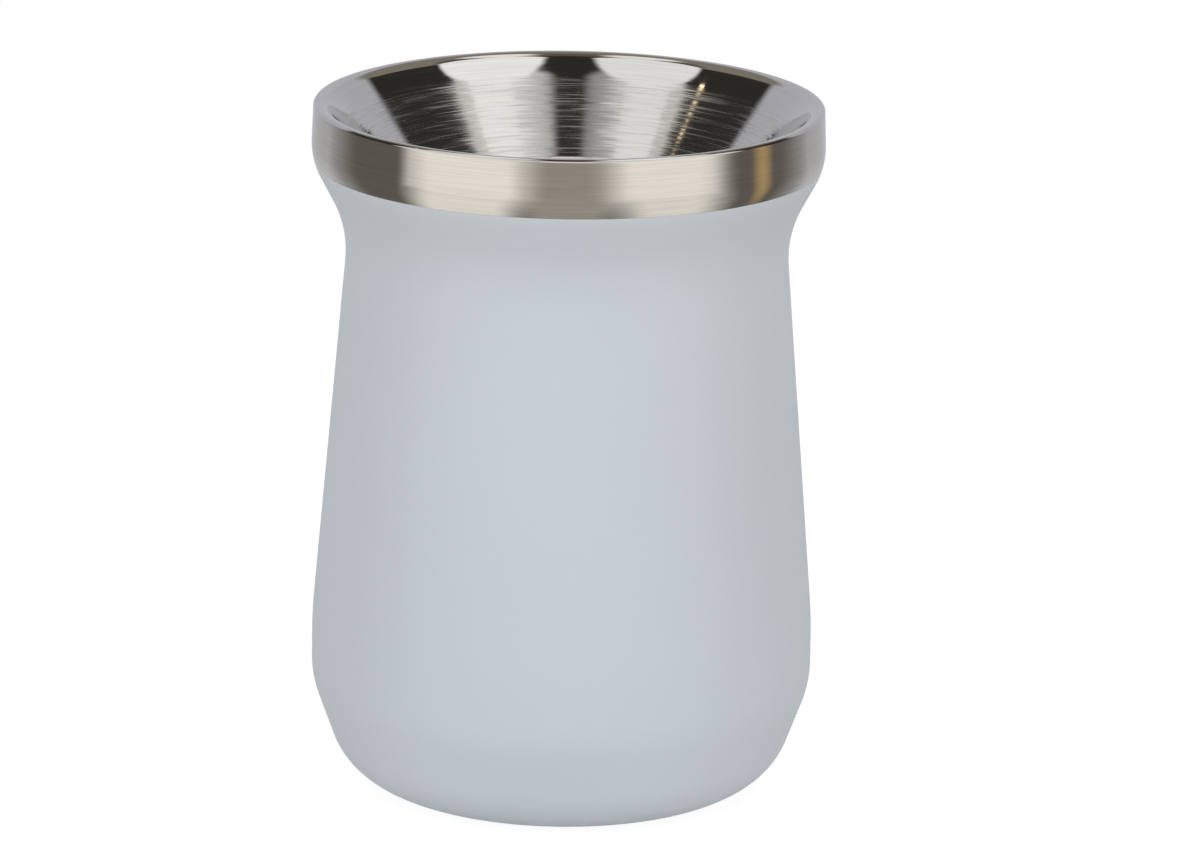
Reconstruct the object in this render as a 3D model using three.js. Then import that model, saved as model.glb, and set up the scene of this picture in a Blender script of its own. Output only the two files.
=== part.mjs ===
// A double-walled vacuum mate cup.
// One bare steel sheet makes the drinking chamber, the funnel mouth, the rolled lip and the band outside it.
// A coated, waisted shell hangs from that band, and a stamped pan closes the vacuum jacket at the foot.
// Millimetres, +Z up, origin at the centre of the foot plane.

import * as THREE from 'three';

// Overall size.
const HEIGHT = 110; // foot plane to the top of the lip
const RIM_DIAMETER = 80; // outside of the lip

// Corners of the outer outline, before they are rounded. Heights count from the foot, drops from the lip.
const BASE_DIAMETER = 67.2;
const BASE_FILLET = 12;
const SHOULDER_DIAMETER = 79.6;
const SHOULDER_HEIGHT = 17.1;
const SHOULDER_FILLET = 16.5;
const BELLY_DIAMETER = 79.5;
const BELLY_HEIGHT = 27.2;
const BELLY_FILLET = 78;
const WAIST_DIAMETER = 68.8;
const WAIST_DROP = 19.9;
const WAIST_FILLET = 19;
const BAND_DIAMETER = 80.7;
const BAND_DROP = 8.7;
const BAND_FILLET = 10.4;

// Mouth and drinking chamber.
const BAND_HEIGHT = 9.2; // bare steel below the lip, down to the edge of the coated shell
const FOLD_GAP = 0.7; // clear space inside the rolled lip
const LIP_OUTER_FILLET = 0.5;
const LIP_INNER_FILLET = 1.5;
const FLARE_DIAMETER = 72.2; // where the funnel opens out towards the lip
const FLARE_DROP = 2.2;
const FLARE_FILLET = 30;
const FUNNEL_DEPTH = 14.8;
const CHAMBER_DIAMETER = 52.8;
const THROAT_FILLET = 4;
const FLOOR_HEIGHT = 9.5; // inside floor above the foot plane
const FLOOR_FILLET = 8;
const FLOOR_UPSTAND = 3; // straight wall of the floor dish, up to its weld

// Sheet thicknesses.
const LINER_SHEET = 0.5;
const SHELL_SHEET = 0.5;
const PAN_SHEET = 0.5;
const COVER_SHEET = 0.4;
const CLIP_SHEET = 0.3;

// Joints between the sheets.
const SEAM_GAP = 0.1; // at every weld and bond line
const BAND_LAP = 4; // shell tucked up behind the band
const PAN_LAP = 3.5; // pan rim resting on the shell's foot flange

// Foot, base cover and evacuation port.
const FOOT_HOLE_DIAMETER = 42;
const COVER_RECESS = 1.6; // cover above the foot plane
const COVER_CLEARANCE = 0.4; // round the cover, inside the recess
const COVER_EDGE_FILLET = 0.15;
const ADHESIVE_THICKNESS = 0.3;
const ADHESIVE_MARGIN = 3; // bare ring between the adhesive and the port, and the cover's edge
const PAN_FILLET = 0.6;
const PORT_DIAMETER = 9; // dimple pressed up round the evacuation hole
const PORT_DEPTH = 1.8;
const PORT_HOLE_DIAMETER = 2;
const BEAD_CLEARANCE = 0.3;
const BEAD_THICKNESS = 1.2;

// Getter, strapped to the inside of the pan.
const GETTER_OFFSET = 12.5; // from the cup's axis
const GETTER_DIAMETER = 8;
const GETTER_THICKNESS = 2;
const GETTER_CHAMFER = 0.4;
const CLIP_WIDTH = 3;
const CLIP_FOOT = 3;
const CLIP_BEND = 0.6;
const CLIP_CLEARANCE = 0.3;

// Mesh fineness.
const TURNS = 48; // facets round a large turned piece
const SMALL_TURNS = 24;
const CHORD_ERROR = 0.06; // between an arc and its chords

// Levels and radii that follow from the sizes above.
const rimRadius = RIM_DIAMETER / 2;
const chamberRadius = CHAMBER_DIAMETER / 2;
const footHoleRadius = FOOT_HOLE_DIAMETER / 2;
const lipWidth = 2 * LINER_SHEET + FOLD_GAP;
const bandEdge = HEIGHT - BAND_HEIGHT;
const floorSeam = FLOOR_HEIGHT + FLOOR_FILLET + FLOOR_UPSTAND;
const coverTop = COVER_RECESS + COVER_SHEET;
const coverRadius = footHoleRadius - COVER_CLEARANCE;
const panUnderside = coverTop + ADHESIVE_THICKNESS;
const panTop = panUnderside + PAN_SHEET;
const portRoof = panUnderside + PORT_DEPTH;
const portRadius = PORT_DIAMETER / 2;
const portHoleRadius = PORT_HOLE_DIAMETER / 2;

// Finishes.
const coat = new THREE.MeshStandardMaterial({ color: 0xc3c8d1, roughness: 0.55, metalness: 0 });
const spunSteel = new THREE.MeshStandardMaterial({ color: 0xc9c6bf, roughness: 0.3, metalness: 1 });
const rawSteel = new THREE.MeshStandardMaterial({ color: 0xb4b2ad, roughness: 0.45, metalness: 1 });
const solderGlass = new THREE.MeshStandardMaterial({ color: 0x4a4640, roughness: 0.2, metalness: 0 });
const sinteredAlloy = new THREE.MeshStandardMaterial({ color: 0x55534f, roughness: 0.8, metalness: 0.6 });
const bondFilm = new THREE.MeshStandardMaterial({ color: 0xd8d2c2, roughness: 0.6, metalness: 0 });

// A corner of an outline: radius from the axis, height, and the fillet that rounds it.
function corner(r, z, fillet = 0) {
  return { point: new THREE.Vector2(r, z), fillet };
}

// Unit direction from one corner to the next.
function heading(from, to) {
  return to.point.clone().sub(from.point).normalize();
}

// Angle turned at corner i, positive to the left of the direction of travel.
function turnAt(corners, i) {
  const before = heading(corners[i - 1], corners[i]);
  const after = heading(corners[i], corners[i + 1]);
  return Math.atan2(before.cross(after), before.dot(after));
}

// Length of straight wall that the fillet at corner i takes up on each side.
function reachAt(corners, i) {
  return corners[i].fillet && corners[i].fillet * Math.tan(Math.abs(turnAt(corners, i)) / 2);
}

// The same corners with fillets shrunk, in proportion, where two of them need more wall than lies between.
function settled(corners) {
  return corners.map((c, i) => {
    if (!c.fillet) return c;
    const shares = [i - 1, i + 1].map((j) => {
      const wall = c.point.distanceTo(corners[j].point);
      return wall / (reachAt(corners, i) + reachAt(corners, j));
    });
    return corner(c.point.x, c.point.y, c.fillet * Math.min(1, ...shares));
  });
}

// The corners moved sideways by a distance, to the left of the direction of travel, with fillets to match.
function shifted(corners, distance) {
  const sideways = corners.slice(1).map((c, i) => {
    const along = heading(corners[i], c);
    return new THREE.Vector2(-along.y, along.x);
  });
  return corners.map((c, i) => {
    const first = sideways[Math.max(i - 1, 0)];
    const second = sideways[Math.min(i, sideways.length - 1)];
    const mitre = first.clone().add(second).divideScalar(1 + first.dot(second));
    const moved = c.point.clone().addScaledVector(mitre, distance);
    const inner = c.fillet && turnAt(corners, i) > 0 ? -distance : distance;
    return corner(moved.x, moved.y, c.fillet && Math.max(c.fillet + inner, 0));
  });
}

// Points along the outline, with every fillet as an arc of short chords.
function traced(corners) {
  return corners.flatMap((c, i) => {
    if (!c.fillet) return [c.point.clone()];
    const turn = turnAt(corners, i);
    const before = heading(corners[i - 1], c);
    const start = c.point.clone().addScaledVector(before, -reachAt(corners, i));
    const toCentre = new THREE.Vector2(-before.y, before.x).multiplyScalar(c.fillet * Math.sign(turn));
    const centre = start.clone().add(toCentre);
    const chord = 2 * Math.acos(Math.max(1 - CHORD_ERROR / c.fillet, 0));
    const steps = Math.ceil(Math.abs(turn) / chord);
    return Array.from({ length: steps + 1 }, (_, k) =>
      start.clone().rotateAround(centre, (turn * k) / steps));
  });
}

// The points split where the line first climbs past a height.
function splitAt(points, height) {
  const next = points.findIndex((p, k) => k > 0 && points[k - 1].y <= height && p.y > height);
  const [a, b] = [points[next - 1], points[next]];
  const cut = a.clone().lerp(b, (height - a.y) / (b.y - a.y));
  return { below: [...points.slice(0, next), cut], above: [cut, ...points.slice(next)] };
}

// Solid of revolution about +Z from a profile that closes on itself or on the axis.
function turned(profile, turns = TURNS) {
  const onAxis = profile[0].x === 0 && profile.at(-1).x === 0;
  const closed = onAxis ? profile : [...profile, profile[0]];
  return new THREE.LatheGeometry(closed, turns).rotateX(Math.PI / 2);
}

function piece(name, geometry, material) {
  const mesh = new THREE.Mesh(geometry, material);
  mesh.name = name;
  return mesh;
}

// The cup's whole skin is one line: out along the foot, up the outside, over the lip, down the funnel and
// the chamber. Its left side is the vacuum jacket, so a sheet of any thickness is the line shifted left.
const skin = settled([
  corner(footHoleRadius, 0),
  corner(BASE_DIAMETER / 2, 0, BASE_FILLET),
  corner(SHOULDER_DIAMETER / 2, SHOULDER_HEIGHT, SHOULDER_FILLET),
  corner(BELLY_DIAMETER / 2, BELLY_HEIGHT, BELLY_FILLET),
  corner(WAIST_DIAMETER / 2, HEIGHT - WAIST_DROP, WAIST_FILLET),
  corner(BAND_DIAMETER / 2, HEIGHT - BAND_DROP, BAND_FILLET),
  corner(rimRadius, HEIGHT, LIP_OUTER_FILLET),
  corner(rimRadius - lipWidth, HEIGHT, LIP_INNER_FILLET),
  corner(FLARE_DIAMETER / 2, HEIGHT - FLARE_DROP, FLARE_FILLET),
  corner(chamberRadius, HEIGHT - FUNNEL_DEPTH, THROAT_FILLET),
  corner(chamberRadius, floorSeam),
]);

function skinAt(depth) {
  return traced(shifted(skin, depth));
}

// Coated shell: flush with the band at its upper edge, then joggled in by one sheet to tuck up behind it.
function outerShell() {
  const edge = bandEdge - SEAM_GAP;
  const tuck = LINER_SHEET + SEAM_GAP;
  const outside = splitAt(skinAt(0), edge).below;
  const inside = splitAt(skinAt(SHELL_SHEET), edge - SHELL_SHEET).below;
  const lapTop = bandEdge + BAND_LAP;
  const lap = (depth, from) => splitAt(splitAt(skinAt(depth), from).above, lapTop).below;
  const lapOutside = lap(tuck, edge);
  const lapInside = lap(tuck + SHELL_SHEET, edge - SHELL_SHEET);
  const profile = [...outside, ...lapOutside, ...lapInside.reverse(), ...inside.reverse()];
  return piece('outer_shell', turned(profile), coat);
}

// Liner: band, rolled lip, funnel and chamber wall, drawn from one sheet of even thickness.
function innerLiner() {
  const show = splitAt(skinAt(0), bandEdge).above;
  const hidden = splitAt(skinAt(LINER_SHEET), bandEdge).above;
  return piece('inner_liner', turned([...show, ...hidden.reverse()]), spunSteel);
}

// Floor dish, butt-welded to the foot of the chamber wall.
function linerBottom() {
  const dish = settled([
    corner(chamberRadius, floorSeam - SEAM_GAP),
    corner(chamberRadius, FLOOR_HEIGHT, FLOOR_FILLET),
    corner(0, FLOOR_HEIGHT),
  ]);
  const profile = [...traced(dish), ...traced(shifted(dish, LINER_SHEET)).reverse()];
  return piece('liner_bottom', turned(profile), spunSteel);
}

// Base pan: its rim lies on the shell's foot flange, its panel is raised, and a dimple holds the port.
function basePan() {
  const rim = SHELL_SHEET + SEAM_GAP;
  const underside = settled([
    corner(footHoleRadius + PAN_LAP, rim),
    corner(footHoleRadius, rim, PAN_FILLET),
    corner(footHoleRadius, panUnderside, PAN_FILLET),
    corner(portRadius, panUnderside, PAN_FILLET),
    corner(portRadius, portRoof, PAN_FILLET),
    corner(portHoleRadius, portRoof),
  ]);
  const topside = traced(shifted(underside, -PAN_SHEET));
  return piece('base_pan', turned([...topside, ...traced(underside).reverse()]), rawSteel);
}

// Glass bead melted into the dimple to seal the port, with a stem that fills the hole.
function sealBead() {
  const beadRadius = portRadius - BEAD_CLEARANCE;
  const stemRadius = portHoleRadius - BEAD_CLEARANCE;
  const seat = portRoof - SEAM_GAP;
  const bead = settled([
    corner(0, seat - BEAD_THICKNESS),
    corner(beadRadius, seat - BEAD_THICKNESS, BEAD_THICKNESS),
    corner(beadRadius, seat),
    corner(stemRadius, seat),
    corner(stemRadius, portRoof + PAN_SHEET),
    corner(0, portRoof + PAN_SHEET),
  ]);
  return piece('seal_bead', turned(traced(bead), SMALL_TURNS), solderGlass);
}

// Getter pill: a pressed tablet with chamfered edges.
function getterPill() {
  const radius = GETTER_DIAMETER / 2;
  const profile = [
    [0, 0],
    [radius - GETTER_CHAMFER, 0],
    [radius, GETTER_CHAMFER],
    [radius, GETTER_THICKNESS - GETTER_CHAMFER],
    [radius - GETTER_CHAMFER, GETTER_THICKNESS],
    [0, GETTER_THICKNESS],
  ].map(([r, z]) => new THREE.Vector2(r, z));
  return piece('getter_pill', turned(profile, SMALL_TURNS), sinteredAlloy);
}

// Getter clip: a strip bent into a hat over the pill, with a foot each side to weld to the pan.
function getterClip() {
  const side = GETTER_DIAMETER / 2 + CLIP_CLEARANCE;
  const roof = GETTER_THICKNESS + CLIP_CLEARANCE;
  const underside = settled([
    corner(-side - CLIP_FOOT, 0),
    corner(-side, 0, CLIP_BEND),
    corner(-side, roof, CLIP_BEND),
    corner(side, roof, CLIP_BEND),
    corner(side, 0, CLIP_BEND),
    corner(side + CLIP_FOOT, 0),
  ]);
  const shape = new THREE.Shape([...traced(underside), ...traced(shifted(underside, CLIP_SHEET)).reverse()]);
  const strip = new THREE.ExtrudeGeometry(shape, { depth: CLIP_WIDTH, bevelEnabled: false });
  strip.translate(0, 0, -CLIP_WIDTH / 2).rotateX(Math.PI / 2).rotateZ(Math.PI / 2);
  return piece('getter_clip', strip, rawSteel);
}

// Adhesive ring that bonds the base cover to the pan's panel.
function coverAdhesive() {
  const inner = portRadius + ADHESIVE_MARGIN;
  const outer = coverRadius - ADHESIVE_MARGIN;
  const ring = [
    corner(inner, coverTop),
    corner(outer, coverTop),
    corner(outer, panUnderside),
    corner(inner, panUnderside),
  ];
  return piece('cover_adhesive', turned(traced(ring)), bondFilm);
}

// Base cover: a thin disc in the recess, hiding the port.
function baseCover() {
  const disc = settled([
    corner(0, COVER_RECESS),
    corner(coverRadius, COVER_RECESS, COVER_EDGE_FILLET),
    corner(coverRadius, coverTop, COVER_EDGE_FILLET),
    corner(0, coverTop),
  ]);
  return piece('base_cover', turned(traced(disc)), spunSteel);
}

// Getter and clip together, standing on the pan beside the port.
function getterAssembly() {
  const group = new THREE.Group();
  group.add(getterPill(), getterClip());
  group.position.set(GETTER_OFFSET, 0, panTop);
  return group;
}

const mateCup = new THREE.Group();
mateCup.add(
  outerShell(),
  innerLiner(),
  linerBottom(),
  basePan(),
  sealBead(),
  getterAssembly(),
  coverAdhesive(),
  baseCover(),
);

export default mateCup;
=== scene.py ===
"""Studio scene of a double-wall mate cup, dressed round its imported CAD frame.

Sizes of the pieces, the table, the lamp and the camera are in millimetres and become metres where a mesh
or an object is made. Sizes in a finish are in metres, as shaders measure. The cup stands on the origin
with +Z up, and the camera stands on the -Y side.
"""

import logging
import math
from dataclasses import dataclass, field
from enum import Enum
from typing import Any

import bpy
from mathutils import Matrix, Vector

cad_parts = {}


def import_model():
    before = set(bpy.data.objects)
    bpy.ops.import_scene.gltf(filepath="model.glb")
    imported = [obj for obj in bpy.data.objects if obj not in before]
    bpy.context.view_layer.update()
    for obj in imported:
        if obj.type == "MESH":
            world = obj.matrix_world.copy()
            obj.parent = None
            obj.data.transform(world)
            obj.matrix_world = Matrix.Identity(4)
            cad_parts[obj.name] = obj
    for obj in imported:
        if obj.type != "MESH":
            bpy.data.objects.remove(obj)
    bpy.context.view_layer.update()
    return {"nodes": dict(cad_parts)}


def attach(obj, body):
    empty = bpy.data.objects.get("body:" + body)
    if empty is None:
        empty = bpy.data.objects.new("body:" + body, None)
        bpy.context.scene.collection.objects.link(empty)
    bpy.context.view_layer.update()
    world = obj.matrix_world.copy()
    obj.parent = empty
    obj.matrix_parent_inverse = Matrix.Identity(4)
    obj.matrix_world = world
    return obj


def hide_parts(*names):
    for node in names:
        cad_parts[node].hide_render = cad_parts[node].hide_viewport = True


LOG = logging.getLogger("mate_cup")
MM = 0.001

# Nearly all values of a noise texture lie between these
NOISE_LOW = 0.3
NOISE_HIGH = 0.7

Colour = tuple[float, float, float]
Socket = bpy.types.NodeSocket


class CadNode(Enum):
    """Solids of the CAD frame."""

    OUTER_SHELL = "outer_shell"
    INNER_LINER = "inner_liner"
    LINER_BOTTOM = "liner_bottom"
    BASE_PAN = "base_pan"
    BASE_COVER = "base_cover"
    COVER_ADHESIVE = "cover_adhesive"
    SEAL_BEAD = "seal_bead"
    GETTER_PILL = "getter_pill"
    GETTER_CLIP = "getter_clip"


class Slot(Enum):
    """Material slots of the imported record."""

    COAT = "coat"
    SPUN_STEEL = "spun_steel"
    RAW_STEEL = "raw_steel"
    SOLDER_GLASS = "solder_glass"
    SINTERED_ALLOY = "sintered_alloy"
    BOND_FILM = "bond_film"


class Graph:
    """Adds nodes to one node tree and wires them."""

    def __init__(self, tree: bpy.types.NodeTree) -> None:
        """Takes the tree that the nodes go into."""
        self.tree = tree

    def add(self, kind: str, inputs: dict[str | int, Any] | None = None, **settings: Any) -> bpy.types.Node:
        """Adds a node.

        Args:
            kind: Blender's type name of the node.
            inputs: Values, or output sockets to link, by the input's name or place.
            settings: Properties of the node itself.

        Returns:
            The new node.
        """
        node = self.tree.nodes.new(kind)
        for name, value in settings.items():
            setattr(node, name, value)
        for key, value in (inputs or {}).items():
            self.feed(value, node.inputs[key])
        return node

    def feed(self, value: Any, socket: Socket) -> None:
        """Links an output socket to an input, or sets the input to a value.

        Args:
            value: A socket, a number or a tuple of numbers.
            socket: The input.
        """
        if isinstance(value, Socket):
            self.tree.links.new(value, socket)
        else:
            socket.default_value = value

    def math(self, operation: str, *values: Any) -> Socket:
        """Adds a Math node.

        Args:
            operation: Blender's name of the operation.
            values: Numbers or sockets, in the order of the node's inputs.

        Returns:
            The result's socket.
        """
        return self.add("ShaderNodeMath", dict(enumerate(values)), operation=operation).outputs[0]

    def vector(self, operation: str, *values: Any) -> Socket:
        """Adds a Vector Math node.

        Args:
            operation: Blender's name of the operation.
            values: Vectors or sockets, in the order of the node's inputs.

        Returns:
            The result's socket, the Value one for a length.
        """
        node = self.add("ShaderNodeVectorMath", dict(enumerate(values)), operation=operation)
        return node.outputs["Value" if operation == "LENGTH" else "Vector"]

    def scaled(self, vector: Any, factor: Any) -> Socket:
        """Adds a Vector Math node that multiplies a vector by a number.

        Args:
            vector: Vector or socket.
            factor: Number or socket.

        Returns:
            The result's socket.
        """
        node = self.add("ShaderNodeVectorMath", {0: vector, "Scale": factor}, operation="SCALE")
        return node.outputs["Vector"]

    def tilted(self, lean: Socket) -> Socket:
        """Leans the surface's normal over.

        Args:
            lean: Vector to lean it by.

        Returns:
            The new normal's socket.
        """
        face = self.add("ShaderNodeNewGeometry").outputs["Normal"]
        return self.vector("NORMALIZE", self.vector("ADD", face, lean))

    def ramp(self, value: Any, low: float, high: float, to_low: float, to_high: float) -> Socket:
        """Maps a range of values smoothly onto another and holds its ends.

        Args:
            value: Number or socket to map.
            low: Start of the range.
            high: End of the range.
            to_low: Result at the start.
            to_high: Result at the end.

        Returns:
            The result's socket.
        """
        ends = {"Value": value, "From Min": low, "From Max": high, "To Min": to_low, "To Max": to_high}
        return self.add("ShaderNodeMapRange", ends, interpolation_type="SMOOTHSTEP").outputs["Result"]

    def blend(self, share: Any, first: Any, second: Any) -> Socket:
        """Mixes two colours.

        Args:
            share: Share of the second colour.
            first: Colour or socket.
            second: Colour or socket.

        Returns:
            The mixed colour's socket.
        """
        node = self.add("ShaderNodeMix", {0: share}, data_type="RGBA")
        for place, colour in ((6, first), (7, second)):
            self.feed((*colour, 1.0) if isinstance(colour, tuple) else colour, node.inputs[place])
        return node.outputs[2]

    def spot(self) -> Socket:
        """Adds a Texture Coordinate node and gives a surface point's place in metres."""
        return self.add("ShaderNodeTexCoord").outputs["Object"]

    def about_axis(self) -> tuple[Socket, Socket, Socket]:
        """Finds a surface point's place about the cup's axis.

        Returns:
            Sockets of the vector straight out from the axis, of its length and of the height.
        """
        split = self.add("ShaderNodeSeparateXYZ", {0: self.spot()}).outputs
        out = self.add("ShaderNodeCombineXYZ", {"X": split["X"], "Y": split["Y"]}).outputs[0]
        return out, self.vector("LENGTH", out), split["Z"]

    def noise(self, place: Socket, scale: Any, detail: float) -> bpy.types.bpy_prop_collection:
        """Adds a Noise Texture node.

        Args:
            place: Where to read the noise.
            scale: Number or socket that the place is multiplied by.
            detail: How many finer layers it has.

        Returns:
            Its outputs, a number and a colour.
        """
        values = {"Vector": place, "Scale": scale, "Detail": detail}
        return self.add("ShaderNodeTexNoise", values).outputs

    def shape(
        self, kind: str, start: Socket, inputs: dict[str, Any] | None = None, **settings: Any
    ) -> Socket:
        """Adds a node that takes a shape and hands it on.

        Args:
            kind: Blender's type name of the node.
            start: The shape it takes.
            inputs: Its other inputs, as in add.
            settings: Properties of the node itself.

        Returns:
            The changed shape's socket.
        """
        return self.add(kind, {"Geometry": start, **(inputs or {})}, **settings).outputs[0]


@dataclass(frozen=True)
class Corner:
    """A corner of an outline, before it is rounded."""

    radius: float
    height: float
    fillet: float = 0.0

    @property
    def point(self) -> Vector:
        """The corner as a point of the outline's plane."""
        return Vector((self.radius, self.height))


@dataclass(frozen=True)
class Outline:
    """A line of rounded corners that one face of a sheet follows."""

    corners: tuple[Corner, ...]
    arc_step: float = math.radians(1.5)
    wall_step: float = 2.5

    def heading(self, index: int) -> Vector:
        """Unit direction from a corner to the next one."""
        return (self.corners[index + 1].point - self.corners[index].point).normalized()

    def turn(self, index: int) -> float:
        """Angle turned at a corner, positive to the left of the direction of travel."""
        before, after = self.heading(index - 1), self.heading(index)
        return math.atan2(before.x * after.y - before.y * after.x, before.dot(after))

    def reach(self, index: int) -> float:
        """Straight wall that a corner's fillet takes up on each side."""
        fillet = self.corners[index].fillet
        return fillet * math.tan(abs(self.turn(index)) / 2) if fillet else 0.0

    def settled(self) -> "Outline":
        """Shrinks fillets, in proportion, where two of them need more wall than lies between.

        Returns:
            The outline with fillets that fit.
        """
        fitted = []
        for index, corner in enumerate(self.corners):
            share = 1.0
            if corner.fillet:
                for other in (index - 1, index + 1):
                    wall = (self.corners[other].point - corner.point).length
                    share = min(share, wall / (self.reach(index) + self.reach(other)))
            fitted.append(Corner(corner.radius, corner.height, corner.fillet * share))
        return Outline(tuple(fitted), self.arc_step, self.wall_step)

    def shifted(self, distance: float) -> "Outline":
        """Moves the line sideways, with fillets to match.

        Args:
            distance: How far, to the left of the direction of travel.

        Returns:
            The outline of a sheet's other face.
        """
        last = len(self.corners) - 1
        sideways = [Vector((-way.y, way.x)) for way in map(self.heading, range(last))]
        moved = []
        for index, corner in enumerate(self.corners):
            first, second = sideways[max(index - 1, 0)], sideways[min(index, last - 1)]
            point = corner.point + (first + second) * (distance / (1 + first.dot(second)))
            fillet = corner.fillet
            if fillet:
                fillet = max(fillet - math.copysign(1.0, self.turn(index)) * distance, 0.0)
            moved.append(Corner(point.x, point.y, fillet))
        return Outline(tuple(moved), self.arc_step, self.wall_step)

    def traced(self) -> list[Vector]:
        """Follows the outline with short chords round its fillets and short steps along its walls.

        Returns:
            Points of radius and height.
        """
        bends: list[Vector] = []
        for index, corner in enumerate(self.corners):
            if not corner.fillet:
                bends.append(corner.point)
                continue
            turn, before = self.turn(index), self.heading(index - 1)
            start = corner.point - before * self.reach(index)
            centre = start + Vector((-before.y, before.x)) * math.copysign(corner.fillet, turn)
            spoke = start - centre
            steps = math.ceil(abs(turn) / self.arc_step)
            angles = [turn * step / steps for step in range(steps + 1)]
            bends += [centre + Matrix.Rotation(angle, 2) @ spoke for angle in angles]
        points = bends[:1]
        for start, end in zip(bends, bends[1:]):
            steps = max(math.ceil((end - start).length / self.wall_step), 1)
            points += [start.lerp(end, step / steps) for step in range(1, steps + 1)]
        return points


def split_at(points: list[Vector], height: float) -> tuple[list[Vector], list[Vector]]:
    """Splits a line where it first climbs past a height.

    Args:
        points: Points of the line.
        height: Where to cut it.

    Returns:
        The part below the cut and the part after it. Both hold the cut's point.
    """
    after = next(k for k in range(1, len(points)) if points[k - 1].y <= height < points[k].y)
    low, high = points[after - 1], points[after]
    cut = low.lerp(high, (height - low.y) / (high.y - low.y))
    return [*points[:after], cut], [cut, *points[after:]]


class Lathe:
    """Turns a profile about +Z with one Geometry Nodes tree."""

    MERGE = 2e-7
    CREASE = math.radians(32.0)

    def __init__(self, turns: int = 256) -> None:
        """Builds the tree.

        Args:
            turns: Number of facets round a piece.
        """
        self.turns = turns
        self.tree = bpy.data.node_groups.new("turned_sheet", "GeometryNodeTree")
        self.tree.is_modifier = True
        self.sockets = {
            name: self.tree.interface.new_socket(name, in_out="INPUT", socket_type=kind).identifier
            for name, kind in (
                ("Profile", "NodeSocketGeometry"),
                ("Turns", "NodeSocketInt"),
                ("Crease angle", "NodeSocketFloat"),
                ("Finish", "NodeSocketMaterial"),
            )
        }
        self.tree.interface.new_socket("Turned sheet", in_out="OUTPUT", socket_type="NodeSocketGeometry")
        self._wire()

    def _wire(self) -> None:
        """Lays a grid of profile points by turns and bends it round the axis."""
        graph = Graph(self.tree)
        given = graph.add("NodeGroupInput").outputs
        profile, turns = given["Profile"], given["Turns"]
        sizes = graph.add("GeometryNodeAttributeDomainSize", {"Geometry": profile})
        count = sizes.outputs["Point Count"]
        columns = graph.math("ADD", turns, 1.0)
        grid = graph.add("GeometryNodeMeshGrid", {"Vertices X": columns, "Vertices Y": count})
        index = graph.add("GeometryNodeInputIndex").outputs[0]
        column = graph.math("FLOOR", graph.math("DIVIDE", graph.math("ADD", index, 0.5), count))
        row = graph.math("SUBTRACT", index, graph.math("MULTIPLY", column, count))
        angle = graph.math("DIVIDE", graph.math("MULTIPLY", column, math.tau), turns)
        place = graph.add("GeometryNodeInputPosition").outputs[0]
        sample = graph.add(
            "GeometryNodeSampleIndex",
            {"Geometry": profile, "Value": place, "Index": row},
            data_type="FLOAT_VECTOR",
        )
        along = graph.add("ShaderNodeSeparateXYZ", {0: sample.outputs["Value"]}).outputs
        x = graph.math("MULTIPLY", along["X"], graph.math("COSINE", angle))
        y = graph.math("MULTIPLY", along["X"], graph.math("SINE", angle))
        bent = graph.add("ShaderNodeCombineXYZ", {"X": x, "Y": y, "Z": along["Z"]}).outputs[0]
        laid = graph.shape("GeometryNodeSetPosition", grid.outputs["Mesh"], {"Position": bent})
        closed = graph.shape("GeometryNodeMergeByDistance", laid, {"Distance": self.MERGE})
        smooth = graph.shape("GeometryNodeSetShadeSmooth", closed, {"Shade Smooth": True})
        fold = graph.add("GeometryNodeInputMeshEdgeAngle").outputs["Unsigned Angle"]
        folds = {0: fold, 1: given["Crease angle"]}
        sharp = graph.add("FunctionNodeCompare", folds, operation="GREATER_THAN").outputs[0]
        edges = {"Selection": sharp, "Shade Smooth": False}
        creased = graph.shape("GeometryNodeSetShadeSmooth", smooth, edges, domain="EDGE")
        real = graph.shape("GeometryNodeRealizeInstances", creased)
        dressed = graph.shape("GeometryNodeSetMaterial", real, {"Material": given["Finish"]})
        graph.add("NodeGroupOutput", {0: dressed})

    def turn(self, name: str, profile: list[Vector], finish: bpy.types.Material) -> bpy.types.Object:
        """Turns one piece.

        Args:
            name: The piece's name.
            profile: Points in millimetres, from axis to axis or closing on themselves.
            finish: Its material.

        Returns:
            The piece as a plain mesh object at the origin.
        """
        line = bpy.data.meshes.new(name + "_profile")
        line.from_pydata([(point.x * MM, 0.0, point.y * MM) for point in profile], [], [])
        blank = bpy.data.objects.new(name + "_profile", line)
        bpy.context.scene.collection.objects.link(blank)
        modifier = blank.modifiers.new("turn", "NODES")
        modifier.node_group = self.tree
        modifier[self.sockets["Turns"]] = self.turns
        modifier[self.sockets["Crease angle"]] = self.CREASE
        modifier[self.sockets["Finish"]] = finish
        turned = blank.evaluated_get(bpy.context.evaluated_depsgraph_get())
        mesh = bpy.data.meshes.new_from_object(turned)
        mesh.name = name
        bpy.data.objects.remove(blank)
        bpy.data.meshes.remove(line)
        piece = bpy.data.objects.new(name, mesh)
        bpy.context.scene.collection.objects.link(piece)
        return piece


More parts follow.
